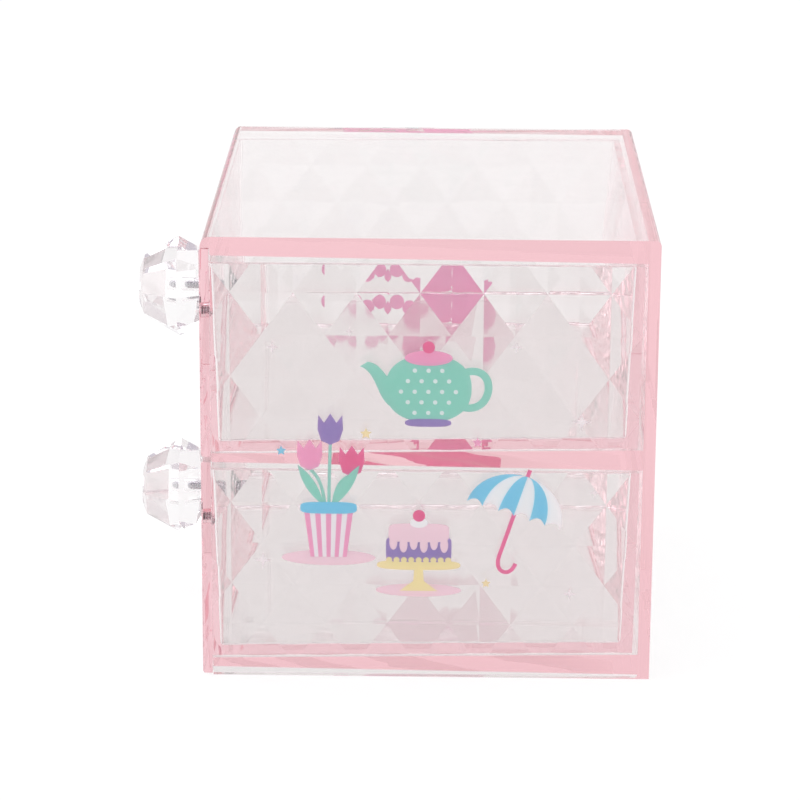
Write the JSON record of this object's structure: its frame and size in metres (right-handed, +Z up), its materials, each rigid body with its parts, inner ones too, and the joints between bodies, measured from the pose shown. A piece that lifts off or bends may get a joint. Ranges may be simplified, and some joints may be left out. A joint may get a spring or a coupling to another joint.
{
  "type": "washi tape drawer box",
  "caption": "Cube-like see-through pink tabletop box with stacked slide-out drawers, quilted drawer sides and faceted crystal knobs, for washi tape and small craft supplies.",
  "frame": {"origin": "on the ground under the middle of the object's overall box, knobs included", "axes": "+Z up; the drawers slide out along -Y, so the drawer fronts and knobs face -Y; X runs across the drawers and the printed side wall faces +X"},
  "size_m": [0.13, 0.13, 0.111],
  "materials": {
    "pink_case": "clear pink polystyrene, polished",
    "pink_drawer": "clear pink polystyrene, polished, quilted sides",
    "clear_knob": "water-clear faceted acrylic",
    "plated_screw": "nickel-plated steel"
  },
  "bodies": {
    "case": {"case_shell": "pink_case"},
    "upper_drawer_unit": {"upper_drawer": "pink_drawer", "upper_knob": "clear_knob", "upper_knob_screw": "plated_screw"},
    "lower_drawer_unit": {"lower_drawer": "pink_drawer", "lower_knob": "clear_knob", "lower_knob_screw": "plated_screw"}
  },
  "joints": [
    {"name": "upper_drawer_slide", "type": "slide", "parent": "case", "child": "upper_drawer_unit", "axis": [0, -1, 0], "range_m": [0, 0.08]},
    {"name": "lower_drawer_slide", "type": "slide", "parent": "case", "child": "lower_drawer_unit", "axis": [0, -1, 0], "range_m": [0, 0.08]}
  ]
}
